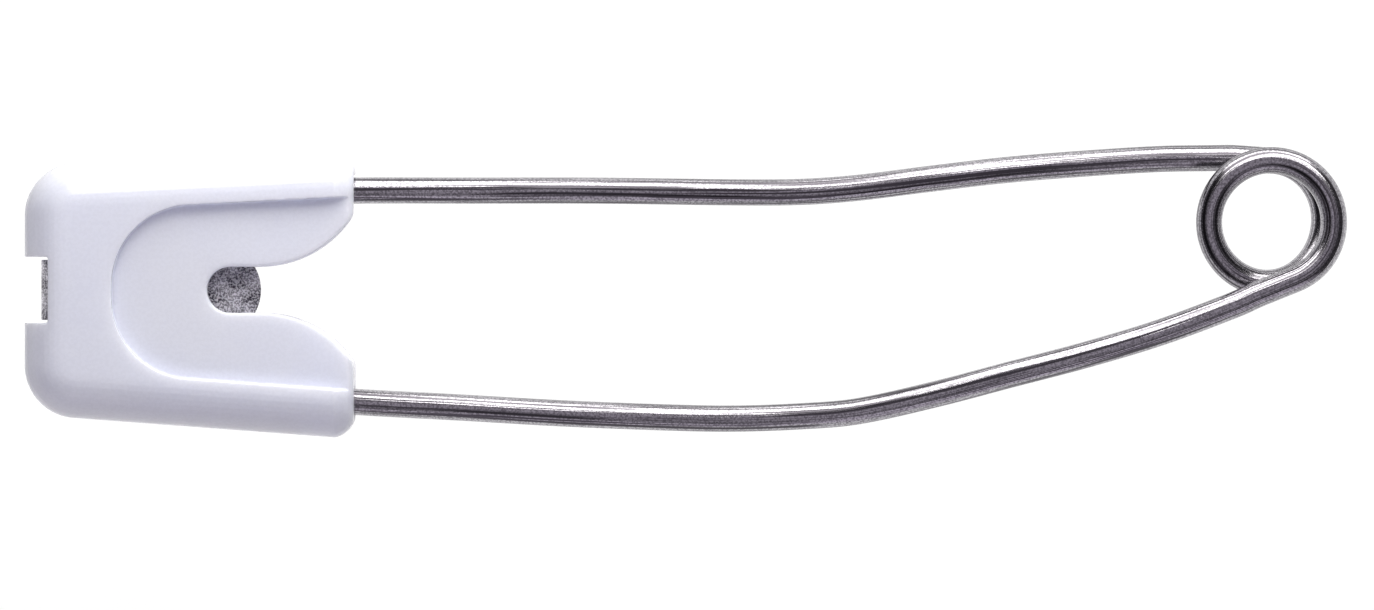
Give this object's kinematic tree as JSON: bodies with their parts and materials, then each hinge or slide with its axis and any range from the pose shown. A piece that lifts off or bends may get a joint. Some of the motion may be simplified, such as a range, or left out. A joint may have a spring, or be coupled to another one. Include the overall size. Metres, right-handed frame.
{
  "type": "safety pin",
  "caption": "Closed nappy safety pin of coiled spring wire, its sharp arm held by a sheet-metal clasp inside a white plastic locking head.",
  "frame": {"origin": "on the flat surface that the pin lies on, midway along its length and on its head's axis", "axes": "+X towards the spring coil, +Y towards the sharp arm, +Z out of the head's recessed front"},
  "size_m": [0.055, 0.0122, 0.0046],
  "materials": {
    "head_plastic": "moulded, glossy, cool white",
    "clasp_sheet": "plated sheet, dull and speckled",
    "spring_wire": "nickel-plated drawn wire, bright, with fine lengthwise streaks"
  },
  "bodies": {
    "root": {"fixed_arm": "spring_wire", "metal_clasp": "clasp_sheet"},
    "head": {"plastic_head": "head_plastic"},
    "spring": {"spring_coil": "spring_wire"},
    "pin_arm": {"pin_arm": "spring_wire"}
  },
  "joints": [
    {"name": "arm_open", "type": "hinge", "parent": "root", "child": "spring", "pos_m": [0.02438, 0.00283, 0.0023], "axis": [0, 0, -1], "range_deg": [-5, 25], "stiffness_Nm_per_rad": 0.25, "deforming": ["spring_coil"]},
    {"name": "arm_sideways", "type": "hinge", "parent": "spring", "child": "pin_arm", "pos_m": [0.02346, 0.00547, 0.00126], "axis": [0, 1, 0], "range_deg": [-15, 0], "stiffness_Nm_per_rad": 0.3},
    {"name": "head_lock", "type": "slide", "parent": "root", "child": "head", "axis": [1, 0, 0], "range_m": [0, 0.0007]}
  ]
}
